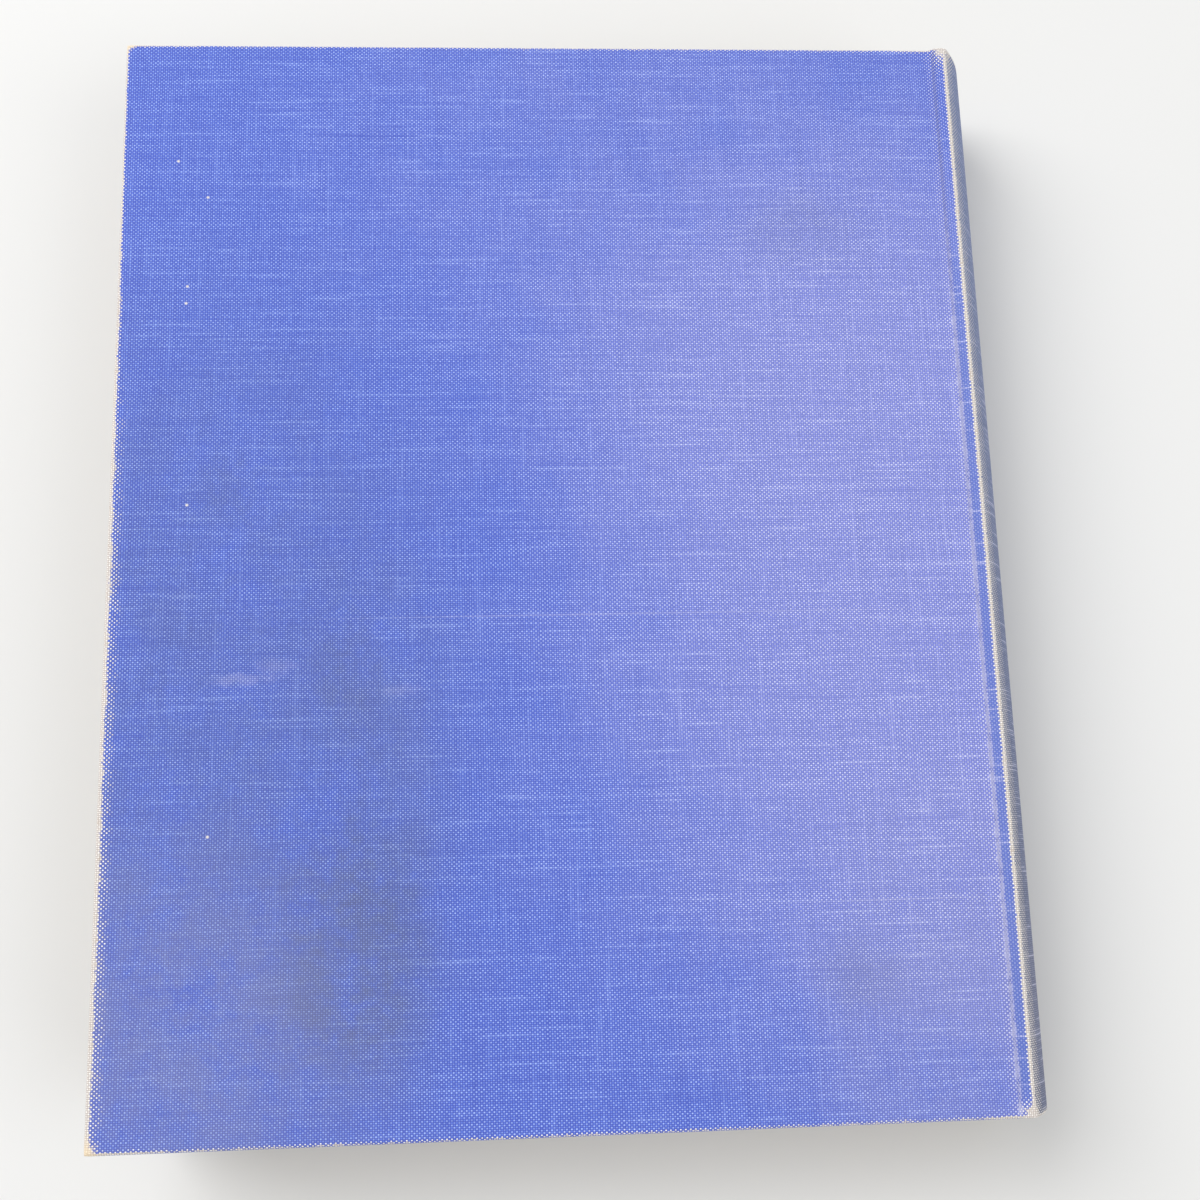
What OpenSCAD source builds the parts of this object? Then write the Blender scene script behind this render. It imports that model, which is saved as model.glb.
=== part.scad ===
// Hardback book: sewn pages with a rounded and backed spine, in a cloth case
// It lies closed on its front cover, with the spine towards +X and the head towards +Y
// Sections are drawn in X and Z, for the rear half, and mirrored for the front half

/* [Covers] */
// Height of a covered board, tail to head
cover_h = 260; // [180:1:340]
// Width of a covered board, from its fore-edge to its bare edge at the joint
cover_w = 201.6; // [120:0.1:260]
// Thickness of the board inside a cover
board_t = 2.5; // [1.8:0.1:4]
// Thickness of the book cloth
cloth_t = 0.4; // [0.25:0.05:0.45]
// Rounding of a covered edge
edge_r = 0.9; // [0.7:0.1:1.4]
// Rounding of a covered corner, seen from above
corner_r = 1.6; // [1.2:0.1:5]
// Width of the cloth turned in over the edge of a board
turn_in = 15; // [10:1:22]
// Gap along the mitre where two turn-ins meet
mitre_gap = 0.2; // [0.1:0.05:0.5]
// Length of cloth tucked round the corner, ahead of the mitre
mitre_tuck = 3; // [2:0.5:6]

/* [Joints] */
// Depth of the groove beside the spine
joint_d = 1; // [0.6:0.1:1.4]
// Rounding at the bottom of the groove
groove_r = 1.6; // [1.4:0.1:2.2]
// Rounding of the cloth over the board's edge at the joint
joint_edge_r = 0.9; // [0.7:0.1:1.2]
// Rounding of the ridge between groove and spine
ridge_r = 1; // [1:0.05:1.3]
// How far the ridge stays below the face of the cover
ridge_drop = 0.2; // [0.1:0.05:0.4]
// Play in the joint between what turns with a cover and the shoulder of the pages
joint_play = 0.1; // [0.05:0.05:0.2]
// Play between a board's bare edge and what passes it in the joint
edge_play = 0.05; // [0.02:0.01:0.2]

/* [Spine] */
// How far the round of the spine stands out beyond the ridge
spine_bulge = 7.6; // [6:0.1:12]
// Thickness of the card that stiffens the spine cloth
inlay_t = 0.4; // [0.2:0.1:0.8]
// Cloth left bare between the card and the ridge
inlay_margin = 1.2; // [0.8:0.1:3]
// Height of the head cap above the covers
cap_rise = 0.7; // [0:0.1:2]
// Bevel on the outer edge of the head cap and the tail cap
cap_bevel = 0.4; // [0.2:0.05:0.6]
// Play between the turned-in cloth and the lined pages
hollow_play = 0.05; // [0.02:0.01:0.3]
// Glue between the layers on the round of the spine
glue_t = 0.02; // [0.02:0.01:0.05]

/* [Pages] */
// Thickness of the pages between the flyleaves
block_t = 28.8; // [20:0.2:45]
// How far the covers stand out beyond the pages
square = 3; // [2:0.5:5]
// Depth of the hollow in the fore-edge
fore_hollow = 5.2; // [3:0.1:8]
// Thickness of the outermost leaves that lie flat beside the hollow
fore_flat = 0.5; // [0.2:0.1:2]
// Thickness of the endpaper
paper_t = 0.15; // [0.1:0.05:0.25]

/* [Linings] */
// Thickness of the open cloth glued across the spine and onto the boards
mull_t = 0.25; // [0.15:0.05:0.35]
// Width of that cloth on each board
mull_w = 28; // [18:1:40]
// Gap between that cloth and the turned-in book cloth at head and tail
mull_gap = 0.5; // [0.3:0.1:3]
// Thickness of the paper lining over the spine
lining_t = 0.15; // [0.1:0.05:0.3]
// Bare edge left beside the lining
lining_margin = 1; // [0.5:0.1:3]
// Radius of the bead of a head or tail band
band_r = 0.9; // [0.6:0.1:1.2]
// Gap between the skirt that glues a band to the spine and the open cloth
skirt_gap = 0.5; // [0.2:0.1:2]
// Bare spine left at each end of a band
band_margin = 2; // [1:0.5:5]

/* [Hidden] */
$fn = 96;

// A length that reaches past every outline, for the far sides of cutting shapes
far = 2 * cover_h;
// A small overshoot, so that a cut passes clean through a face
past = 1;

// Levels in Z, counted from the middle of the pages out to the face of the rear cover
leaf_z = block_t / 2;
paste_z = leaf_z + paper_t;
lip_z = paste_z + paper_t;
board_z = lip_z + cloth_t;
board_top_z = board_z + board_t;
face_z = board_top_z + cloth_t;

// The groove, the rounded board edge and the ridge are three circles that touch each other
function reach(touch, rise) = sqrt(touch * touch - rise * rise);
function bearing(from, to) = atan2(to.y - from.y, to.x - from.x);
edge_x = cover_w - (joint_edge_r - cloth_t);
edge_c = [edge_x, face_z - joint_edge_r];
groove_z = face_z - joint_d + groove_r;
hinge_x = edge_x + reach(groove_r + joint_edge_r, groove_z - edge_c.y);
groove_c = [hinge_x, groove_z];
ridge_z = face_z - ridge_drop - ridge_r;
ridge_c = [hinge_x + reach(groove_r + ridge_r, groove_z - ridge_z), ridge_z];

// The spine is a circle that touches the ridge from outside and passes the outermost point
out_x = ridge_c.x + spine_bulge;
spine_r = (spine_bulge * spine_bulge + ridge_z * ridge_z - ridge_r * ridge_r)
    / (2 * (spine_bulge - ridge_r));
spine_c = [out_x - spine_r, 0];
ridge_angle = bearing(spine_c, ridge_c);

// Layers of the spine, from the cloth down to the pages
fold_t = 2 * cloth_t + inlay_t;
lining_r = spine_r - fold_t - hollow_play;
mull_r = lining_r - lining_t - glue_t;
pages_r = mull_r - mull_t - glue_t;

// Layers on the shoulder, as distances from the pages out to the far side of the pastedown
paste_d = 2 * paper_t + joint_play;
// Layers under the groove, as distances from the outside of the cloth
under_fold = 2 * cloth_t + joint_play;
under_paper = under_fold + 2 * paper_t;
shoulder_r = hinge_x - cover_w - edge_play - cloth_t - paste_d;
shoulder_c = [hinge_x, face_z - joint_d - under_paper - shoulder_r];

// Where the turned-in layer meets the outer layer, at the bottom of the groove
fold_z = face_z - joint_d - cloth_t;

// A layer of the backed spine, r from its axis and d under the groove, comes to a tip where its
// round meets its groove: the bearing of that tip from the axis, by the law of cosines
tip_span = norm(groove_c - spine_c);
function tip_bearing(r, d) = bearing(spine_c, groove_c)
    - acos((r * r + tip_span * tip_span - pow(groove_r + d, 2)) / (2 * r * tip_span));
tip_angle = tip_bearing(pages_r, under_paper);

// Heights in Y
head_y = cover_h + cap_rise;
page_y0 = square;
page_y1 = cover_h - square;
mull_y0 = turn_in + mull_gap;
mull_y1 = cover_h - turn_in - mull_gap;
mull_x0 = cover_w - mull_w;

function arc_degrees(length, radius) = length / radius * 180 / PI;
function polar(centre, r, a) = centre + r * [cos(a), sin(a)];
// Points along an arc after its first point, one for each step
function arc(centre, r, a0, a1, steps) =
    [for (i = [1 : steps]) polar(centre, r, a0 + (a1 - a0) * i / steps)];
function reversed(points) = [for (i = [len(points) - 1 : -1 : 0]) points[i]];
function flipped(points) = [for (p = points) [p.x, -p.y]];
// Steps along a small round in the joint and along the round of the spine
joint_steps = 8;
spine_steps = 36;

// Degrees by which the bevel of a cap runs past the ridges
bevel_overrun = 4;

inlay_angle = ridge_angle - arc_degrees(inlay_margin, spine_r);
lining_angle = tip_angle - arc_degrees(lining_margin, lining_r);
band_angle = tip_angle - arc_degrees(band_margin, pages_r);

// Puts a piece drawn from the fore-edge, the tail and the middle into the book's own frame
module placed() {
    translate([-out_x / 2, -head_y / 2, face_z]) children();
}

// A section in X and Z drawn out along Y
module along_y(y0, y1) {
    translate([0, y1, 0]) rotate([90, 0, 0]) linear_extrude(y1 - y0) children();
}

// A section in Y and Z drawn out along X
module along_x(x0, x1) {
    translate([x0, 0, 0]) rotate([90, 0, 90]) linear_extrude(x1 - x0) children();
}

// A section in radius and Y turned about the axis of the spine, half to each side
module round_spine(half_angle) {
    translate([spine_c.x, 0, 0]) rotate([-90, 0, 0]) rotate([0, 0, -half_angle])
        rotate_extrude(angle = 2 * half_angle) children();
}

module box(low, high) {
    translate(low) cube(high - low);
}

module rect(low, high) {
    translate(low) square(high - low);
}

// A rectangle with its four corners rounded
module round_rect(low, high, r) {
    rect([low.x + r, low.y], [high.x - r, high.y]);
    rect([low.x, low.y + r], [high.x, high.y - r]);
    for (x = [low.x + r, high.x - r], y = [low.y + r, high.y - r]) translate([x, y]) circle(r);
}

// Section of a covered board, shrunk by the inset: 0 for the cloth, which goes on past the joint
// edge as a strip of its own, and cloth_t for the board, which ends there in a round
module cover_section(inset) {
    r = edge_r - inset;
    fore_edge = concat(
        [[inset + r, lip_z + inset]], arc([inset + r, lip_z + inset + r], r, 270, 180, joint_steps),
        [[inset, face_z - inset - r]], arc([inset + r, face_z - inset - r], r, 180, 90, joint_steps)
    );
    joint_edge = inset > 0
        ? concat([[edge_x, face_z - inset]],
            arc(edge_c, joint_edge_r - inset, 90, 0, joint_steps), [[cover_w, lip_z + inset]])
        : [[edge_x, face_z], [edge_x, lip_z]];
    polygon(concat(fore_edge, joint_edge));
}

// A covered board or the board alone, with its edges and two outer corners rounded
module cover_body(inset) {
    intersection() {
        along_y(inset, cover_h - inset) cover_section(inset);
        along_x(0, cover_w)
            round_rect([inset, lip_z + inset], [cover_h - inset, face_z - inset], edge_r - inset);
        linear_extrude(far) round_rect([inset, inset], [far, cover_h - inset], corner_r - inset);
    }
}

// What follows the shoulder on the cover's side of the hinge line: from one to another distance
function shoulder_line(d, foot_z) = concat(
    [shoulder_c + [0, shoulder_r + d]], arc(shoulder_c, shoulder_r + d, 90, 180, joint_steps),
    [[hinge_x - shoulder_r - d, foot_z]]
);
module shoulder_layer(d0, d1, foot_z) {
    polygon(concat(shoulder_line(d1, foot_z), reversed(shoulder_line(d0, foot_z))));
}

// The cloth from the flat of the cover over the board's edge to the bottom of the groove
function cover_joint_line(d) = concat(
    [[edge_x - past, face_z - d], [edge_x, face_z - d]],
    arc(edge_c, joint_edge_r - d, 90, bearing(edge_c, groove_c), joint_steps),
    arc(groove_c, groove_r + d, bearing(groove_c, edge_c) + 360, 270, joint_steps)
);

// The turn-ins seen from inside the board, widened by a margin and reaching from z0 to z1
module lips(margin, z0, z1) {
    box([0, 0, z0], [turn_in + margin, cover_h, z1]);
    box([0, 0, z0], [hinge_x, turn_in + margin, z1]);
    box([0, cover_h - turn_in - margin, z0], [hinge_x, cover_h, z1]);
}

// Slit between two turn-ins at a fore-edge corner
module mitre(y, turn) {
    translate([0, y, lip_z - past]) rotate([0, 0, turn])
        translate([mitre_tuck, -mitre_gap / 2, 0])
            cube([turn_in * sqrt(2), mitre_gap, cloth_t + past]);
}

// Closes the head or tail end of a cover at the joint, where the cloth folds over
module joint_end_section() {
    polygon(concat(cover_joint_line(cloth_t / 2), shoulder_line(paste_d + cloth_t / 2, lip_z),
        [[edge_x - past, lip_z]]));
}

module cover_cloth() {
    difference() {
        cover_body(0);
        cover_body(cloth_t);
        box([turn_in, turn_in, lip_z - past], [far, cover_h - turn_in, board_z]);
        mitre(0, 45);
        mitre(cover_h, -45);
    }
    along_y(0, cover_h) polygon(concat(cover_joint_line(0), reversed(cover_joint_line(cloth_t))));
    for (y = [[0, turn_in], [cover_h - turn_in, cover_h]]) along_y(y[0], y[1]) {
        shoulder_layer(paste_d, paste_d + cloth_t, lip_z);
        rect([edge_x - past, lip_z], [hinge_x - shoulder_r - paste_d, board_z]);
        // The two layers are pressed together at the bottom of the groove
        rect([hinge_x - cloth_t, fold_z - cloth_t / 2], [hinge_x, fold_z + cloth_t / 2]);
    }
    for (y = [[0, cloth_t], [cover_h - cloth_t, cover_h]]) along_y(y[0], y[1]) joint_end_section();
}

module mull_flange() {
    along_y(mull_y0, mull_y1) {
        shoulder_layer(paste_d, paste_d + mull_t, board_z - mull_t);
        rect([mull_x0, board_z - mull_t], [hinge_x - shoulder_r - paste_d, board_z]);
    }
}

// Outer half of the endpaper: it steps over the turn-ins and the mull, then follows the shoulder
module pastedown() {
    edge = hinge_x - shoulder_r - paste_d + paper_t;
    difference() {
        union() {
            box([square, page_y0, board_z - paper_t], [edge, page_y1, board_z]);
            box([mull_x0 - paper_t, mull_y0 - paper_t, board_z - mull_t - paper_t],
                [edge, mull_y1 + paper_t, board_z]);
            intersection() {
                lips(paper_t, paste_z, board_z);
                box([square, page_y0, paste_z], [edge, page_y1, board_z]);
            }
        }
        lips(0, lip_z, board_z + past);
        box([mull_x0, mull_y0, board_z - mull_t], [hinge_x, mull_y1, board_z + past]);
    }
    along_y(page_y0, page_y1) shoulder_layer(paste_d - paper_t, paste_d, paste_z);
}

// Inner half of the endpaper, with the fold that the shoulder holds
module flyleaf() {
    along_y(page_y0, page_y1) polygon(concat(
        [[square, paste_z], [hinge_x - shoulder_r - paper_t, paste_z]],
        reversed(shoulder_line(paper_t, paste_z)),
        [groove_c - [0, groove_r + under_fold]],
        arc(groove_c, groove_r + under_fold, 270, to_tip(pages_r, under_fold), joint_steps),
        reversed(groove_line(pages_r, under_paper)),
        shoulder_line(0, leaf_z), [[square, leaf_z]]
    ));
}

// The bottom of the groove at depth d, from the hinge line to the tip of the layer of radius r
function to_tip(r, d) = 360 + bearing(groove_c, polar(spine_c, r, tip_bearing(r, d)));
function groove_line(r, d) = concat([groove_c - [0, groove_r + d]],
    arc(groove_c, groove_r + d, 270, to_tip(r, d), joint_steps));

// What lies inside a round of the spine and under the grooves, beyond the hinge lines
function backed_line(r, d) = concat(groove_line(r, d),
    arc(spine_c, r, tip_bearing(r, d), 0, spine_steps / 2));
module backed_section(r, d) {
    polygon(concat(backed_line(r, d), reversed(flipped(backed_line(r, d)))));
}

// The pages are one solid: hollow fore-edge, round spine and a shoulder on each side
module pages() {
    half = leaf_z - fore_flat;
    hollow_r = (half * half + fore_hollow * fore_hollow) / (2 * fore_hollow);
    side = concat([[square, leaf_z]], reversed(shoulder_line(0, leaf_z)),
        backed_line(pages_r, under_paper));
    along_y(page_y0, page_y1) difference() {
        polygon(concat(side, reversed(flipped(side))));
        translate([square + fore_hollow - hollow_r, 0]) circle(hollow_r);
    }
}

module mull() {
    along_y(mull_y0, mull_y1) difference() {
        backed_section(mull_r, under_fold - mull_t);
        backed_section(mull_r - mull_t, under_fold);
    }
}

// Part of a ring round the axis of the spine, half to each side
module spine_arc(inner_r, outer_r, half_angle) {
    outer = arc(spine_c, outer_r, half_angle, -half_angle, spine_steps);
    inner = arc(spine_c, inner_r, half_angle, -half_angle, spine_steps);
    polygon(concat(
        [polar(spine_c, outer_r, half_angle)], outer,
        reversed(inner), [polar(spine_c, inner_r, half_angle)]
    ));
}

module lining() {
    along_y(page_y0, page_y1) spine_arc(lining_r - lining_t, lining_r, lining_angle);
}

// A bead on the edge of the pages and a skirt glued to the spine, drawn for the head
module band() {
    round_spine(band_angle) {
        translate([mull_r - band_r, page_y1 + band_r]) circle(band_r);
        rect([mull_r - mull_t, mull_y1 + skirt_gap], [mull_r, page_y1 + band_r]);
    }
}

module inlay() {
    along_y(cloth_t, head_y - cloth_t)
        spine_arc(spine_r - cloth_t - inlay_t, spine_r - cloth_t - glue_t, inlay_angle);
}

// The spine cloth at depth d, from the bottom of the rear groove to the middle of the spine
function spine_line(d) = concat(
    [groove_c - [0, groove_r + d]],
    arc(groove_c, groove_r + d, 270, 360 + bearing(groove_c, ridge_c), joint_steps),
    arc(ridge_c, ridge_r - d, bearing(ridge_c, groove_c), ridge_angle, joint_steps),
    arc(spine_c, spine_r - d, ridge_angle, 0, spine_steps / 2)
);
function mirrored_line(points) = concat(points, reversed(flipped(points)));
module spine_section(t) {
    polygon(concat(mirrored_line(spine_line(0)), reversed(mirrored_line(spine_line(t)))));
}

// Where the cloth is turned in it is double, and it passes under the card
module spine_end_section() {
    spine_section(2 * cloth_t);
    spine_arc(spine_r - fold_t, spine_r - cloth_t / 2, inlay_angle + arc_degrees(cloth_t, spine_r));
}

// What the bevel takes off the outer edge of a cap, drawn for the head
module bevel_cut() {
    round_spine(ridge_angle + bevel_overrun) polygon([
        [spine_r + past, head_y - cap_bevel - past], [spine_r + past, head_y + past],
        [spine_r - cap_bevel - past, head_y + past]
    ]);
}

module spine_wrap() {
    difference() {
        union() {
            along_y(0, head_y) spine_section(cloth_t);
            difference() {
                union() {
                    along_y(0, turn_in) spine_end_section();
                    along_y(head_y - turn_in, head_y) spine_end_section();
                }
                inlay();
            }
        }
        bevel_cut();
        translate([0, head_y, 0]) mirror([0, 1, 0]) bevel_cut();
        // The head edge climbs from the covers to the cap
        translate([0, 0, -far]) linear_extrude(2 * far) polygon([
            [hinge_x - past, cover_h], [hinge_x, cover_h], [ridge_c.x, head_y],
            [ridge_c.x, head_y + past], [hinge_x - past, head_y + past]
        ]);
    }
}

// Named pieces, each in its place and colour
module text_block() {
    color([0.90, 0.86, 0.76]) placed() pages();
}
module front_flyleaf() {
    color([0.93, 0.90, 0.82]) placed() mirror([0, 0, 1]) flyleaf();
}
module rear_flyleaf() {
    color([0.93, 0.90, 0.82]) placed() flyleaf();
}
module spine_mull() {
    color([0.85, 0.82, 0.72]) placed() mull();
}
module head_band() {
    color([0.88, 0.84, 0.74]) placed() band();
}
module tail_band() {
    color([0.88, 0.84, 0.74]) placed() translate([0, cover_h, 0]) mirror([0, 1, 0]) band();
}
module spine_lining() {
    color([0.66, 0.52, 0.36]) placed() lining();
}
module spine_inlay() {
    color([0.60, 0.54, 0.44]) placed() inlay();
}
module spine_cloth() {
    color([0.42, 0.50, 0.74]) placed() spine_wrap();
}
module front_board() {
    color([0.55, 0.50, 0.42]) placed() mirror([0, 0, 1]) cover_body(cloth_t);
}
module front_cover_cloth() {
    color([0.38, 0.46, 0.80]) placed() mirror([0, 0, 1]) cover_cloth();
}
module front_mull_flange() {
    color([0.85, 0.82, 0.72]) placed() mirror([0, 0, 1]) mull_flange();
}
module front_pastedown() {
    color([0.93, 0.90, 0.82]) placed() mirror([0, 0, 1]) pastedown();
}
module rear_board() {
    color([0.55, 0.50, 0.42]) placed() cover_body(cloth_t);
}
module rear_cover_cloth() {
    color([0.38, 0.46, 0.80]) placed() cover_cloth();
}
module rear_mull_flange() {
    color([0.85, 0.82, 0.72]) placed() mull_flange();
}
module rear_pastedown() {
    color([0.93, 0.90, 0.82]) placed() pastedown();
}

text_block();
front_flyleaf();
rear_flyleaf();
spine_mull();
head_band();
tail_band();
spine_lining();
spine_inlay();
spine_cloth();
front_board();
front_cover_cloth();
front_mull_flange();
front_pastedown();
rear_board();
rear_cover_cloth();
rear_mull_flange();
rear_pastedown();
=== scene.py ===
# Hardback book in blue cloth, lying closed on its front cover
# Lengths are in millimetres until a mesh is placed, and places are counted as in the model of the
# construction: x from the fore-edge, y from the tail and z from the middle of the pages

import collections
import math

import bmesh
import bpy
import numpy as np
from mathutils import Matrix, Vector


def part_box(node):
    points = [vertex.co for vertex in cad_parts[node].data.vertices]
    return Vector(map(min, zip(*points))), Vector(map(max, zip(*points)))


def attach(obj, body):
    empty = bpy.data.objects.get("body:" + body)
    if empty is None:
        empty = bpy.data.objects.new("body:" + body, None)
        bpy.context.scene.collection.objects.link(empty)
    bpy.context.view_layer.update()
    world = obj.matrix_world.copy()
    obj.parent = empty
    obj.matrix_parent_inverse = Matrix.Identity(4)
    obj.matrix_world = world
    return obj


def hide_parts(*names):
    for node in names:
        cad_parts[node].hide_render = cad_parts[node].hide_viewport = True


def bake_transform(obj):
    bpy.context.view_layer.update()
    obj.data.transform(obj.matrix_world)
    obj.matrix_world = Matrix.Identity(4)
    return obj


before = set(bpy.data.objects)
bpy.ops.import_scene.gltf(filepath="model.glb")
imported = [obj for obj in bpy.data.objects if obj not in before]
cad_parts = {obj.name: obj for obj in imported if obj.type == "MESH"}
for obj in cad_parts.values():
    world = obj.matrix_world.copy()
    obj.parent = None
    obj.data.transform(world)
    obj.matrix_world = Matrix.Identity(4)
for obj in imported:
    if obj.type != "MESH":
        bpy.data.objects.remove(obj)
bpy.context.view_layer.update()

MM = 0.001

# Sizes taken from the frame
cover_low, cover_high = (np.array(c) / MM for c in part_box("rear_cover_cloth"))
_, spine_high = (np.array(c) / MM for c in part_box("spine_cloth"))
page_low, page_high = (np.array(c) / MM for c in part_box("text_block"))
FORE_X = cover_low[0]
TAIL_Y = cover_low[1]
MIDDLE_Z = cover_high[2] / 2
COVER_H = cover_high[1] - TAIL_Y
HINGE_X = cover_high[0] - FORE_X
SPINE_X = spine_high[0] - FORE_X
HEAD_Y = spine_high[1] - TAIL_Y
FACE_Z = cover_high[2] - MIDDLE_Z
LIP_Z = cover_low[2] - MIDDLE_Z
PAGE_X0 = page_low[0] - FORE_X
PAGE_Y0 = page_low[1] - TAIL_Y
PAGE_Y1 = page_high[1] - TAIL_Y

# Sizes of the cloth and the joint
CLOTH_T = 0.4
EDGE_R = 0.9
CORNER_R = 1.6
TURN_IN = 15.0
MITRE_GAP = 0.2
JOINT_D = 1.0
GROOVE_R = 1.6
JOINT_EDGE_R = 0.9
JOINT_EDGE_X = 201.1
RIDGE_R = 1.0
RIDGE_DROP = 0.2
JOINT_PLAY = 0.1
EDGE_PLAY = 0.05
COVER_W = 201.6
INLAY_T = 0.4
PAPER_T = 0.15

# Circles of the joint and the spine, as in the construction
EDGE_C = np.array([JOINT_EDGE_X, FACE_Z - JOINT_EDGE_R])
GROOVE_C = np.array([HINGE_X, FACE_Z - JOINT_D + GROOVE_R])
RIDGE_Z = FACE_Z - RIDGE_DROP - RIDGE_R
RIDGE_C = np.array([
    HINGE_X + math.sqrt((GROOVE_R + RIDGE_R) ** 2 - (GROOVE_C[1] - RIDGE_Z) ** 2), RIDGE_Z
])
BULGE = SPINE_X - RIDGE_C[0]
SPINE_R = (BULGE ** 2 + RIDGE_Z ** 2 - RIDGE_R ** 2) / (2 * (BULGE - RIDGE_R))
SPINE_C = np.array([SPINE_X - SPINE_R, 0.0])


def bearing(start, end):
    """Direction in degrees from one point of a section to another."""
    return math.degrees(math.atan2(end[1] - start[1], end[0] - start[0]))


RIDGE_ANGLE = bearing(SPINE_C, RIDGE_C)

# Layers under the cloth at the shoulder of the pages
UNDER_FOLD = 2 * CLOTH_T + JOINT_PLAY
UNDER_PAPER = UNDER_FOLD + 2 * PAPER_T
PASTE_D = 2 * PAPER_T + JOINT_PLAY
SHOULDER_R = HINGE_X - COVER_W - EDGE_PLAY - CLOTH_T - PASTE_D
SHOULDER_C = np.array([HINGE_X, FACE_Z - JOINT_D - UNDER_PAPER - SHOULDER_R])

# Layers on the round of the spine, from the card down to the pages
GLUE_T = 0.02
MULL_T = 0.25
LINING_T = 0.15
HOLLOW_PLAY = 0.05
LINING_R = SPINE_R - 2 * CLOTH_T - INLAY_T - HOLLOW_PLAY
MULL_R = LINING_R - LINING_T - GLUE_T
PAGES_R = MULL_R - MULL_T - GLUE_T

# The back of the pages ends where its round meets the groove: the law of cosines
SPAN = float(np.linalg.norm(GROOVE_C - SPINE_C))
TIP_ANGLE = bearing(SPINE_C, GROOVE_C) - math.degrees(math.acos(
    (PAGES_R ** 2 + SPAN ** 2 - (GROOVE_R + UNDER_PAPER) ** 2) / (2 * PAGES_R * SPAN)
))
PAGE_TOP = LIP_Z - 2 * PAPER_T
FORE_HOLLOW = 5.2
FORE_FLAT = 0.5
BAND_R = 0.9
BAND_MARGIN = 2.0
SKIRT_Y = COVER_H - TURN_IN

# Half the width of the strip of cloth that bends when a cover opens
BEND_HALF = 1.05

# Worn ends of the case: how far a corner is pressed from a round, 0, to a square, 1, what share of
# the groove's depth the folded cloth fills there, and how far the worn caps are rounded off
CORNER_POINT = 0.8
GROOVE_FILL = 0.7
GROOVE_FILL_Y = 5.0
HEAD_DROP = 1.3
TAIL_DROP = 0.5

# Steps of the case cloth along its section, from the spine to the flat of a cover, round each
# quarter of a wrapped edge, and up the height
SPINE_STEPS = 24
RIDGE_STEPS = 12
FALL_STEPS = 9
RISE_STEPS = 11
EDGE_STEPS = 6
FLAT_STEPS = 63
WRAP_STEPS = 6
HEIGHT_STEPS = 84

# Leaves of the book, and how many are folded together in a gather
LEAVES = 288
GATHER = 8


def placed(points):
    """Points of the book in metres in the frame: a shift to its origin and a change of unit."""
    return (points + np.array([FORE_X, TAIL_Y, MIDDLE_Z])) * MM


def smooth_step(low, high, value):
    """0 below low, 1 above high and 3t^2 - 2t^3 between them."""
    t = np.clip((value - low) / (high - low), 0, 1)
    return t * t * (3 - 2 * t)


def new_mesh(name, points, faces, uv=None, marks=None):
    """A mesh object from points in millimetres, faces, a UV point for each point and marks,
    which are one number for each point by name. Points that coincide are merged."""
    mesh = bpy.data.meshes.new(name)
    mesh.from_pydata(placed(points).tolist(), [], faces)
    for mark, values in (marks or {}).items():
        attribute = mesh.attributes.new(mark, "FLOAT", "POINT")
        attribute.data.foreach_set("value", np.asarray(values, np.float32))
    if uv is not None:
        corners = np.empty(len(mesh.loops), np.int32)
        mesh.loops.foreach_get("vertex_index", corners)
        layer = mesh.uv_layers.new(name="Cloth")
        layer.data.foreach_set("uv", np.asarray(uv, np.float32)[corners].ravel())
    soup = bmesh.new()
    soup.from_mesh(mesh)
    bmesh.ops.remove_doubles(soup, verts=soup.verts, dist=2e-6)
    soup.to_mesh(mesh)
    soup.free()
    mesh.shade_smooth()
    item = bpy.data.objects.new(name, mesh)
    bpy.context.scene.collection.objects.link(item)
    return item


def points_of(*coordinates):
    """Points from their coordinates, which repeat to one shape."""
    return np.stack(np.broadcast_arrays(*coordinates), -1)


def join_grids(grids):
    """Points and four-sided faces of several grids of points, each given with whether its faces
    are turned over."""
    faces = []
    start = 0
    for grid, turned in grids:
        index = start + np.arange(grid[..., 0].size).reshape(grid.shape[:2])
        corners = [index[:-1, :-1], index[:-1, 1:], index[1:, 1:], index[1:, :-1]]
        if turned:
            corners.reverse()
        faces += np.stack(corners, -1).reshape(-1, 4).tolist()
        start += index.size
    return np.concatenate([grid.reshape(-1, grid.shape[-1]) for grid, _ in grids]), faces


def arc(centre, radius, start, end, steps):
    """Points on an arc from one bearing to another, ends included, with their outward normals."""
    angle = np.radians(np.linspace(start, end, steps + 1))
    normal = points_of(np.cos(angle), np.sin(angle))
    return centre + radius * normal, normal


def path_length(points):
    """Distance along a path to each of its points."""
    return np.concatenate([[0], np.cumsum(np.linalg.norm(np.diff(points, axis=0), axis=1))])


def along(path, share):
    """Points at given shares of a path's length."""
    length = path_length(path)
    return points_of(*(np.interp(share * length[-1], length, axis) for axis in path.T))


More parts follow.
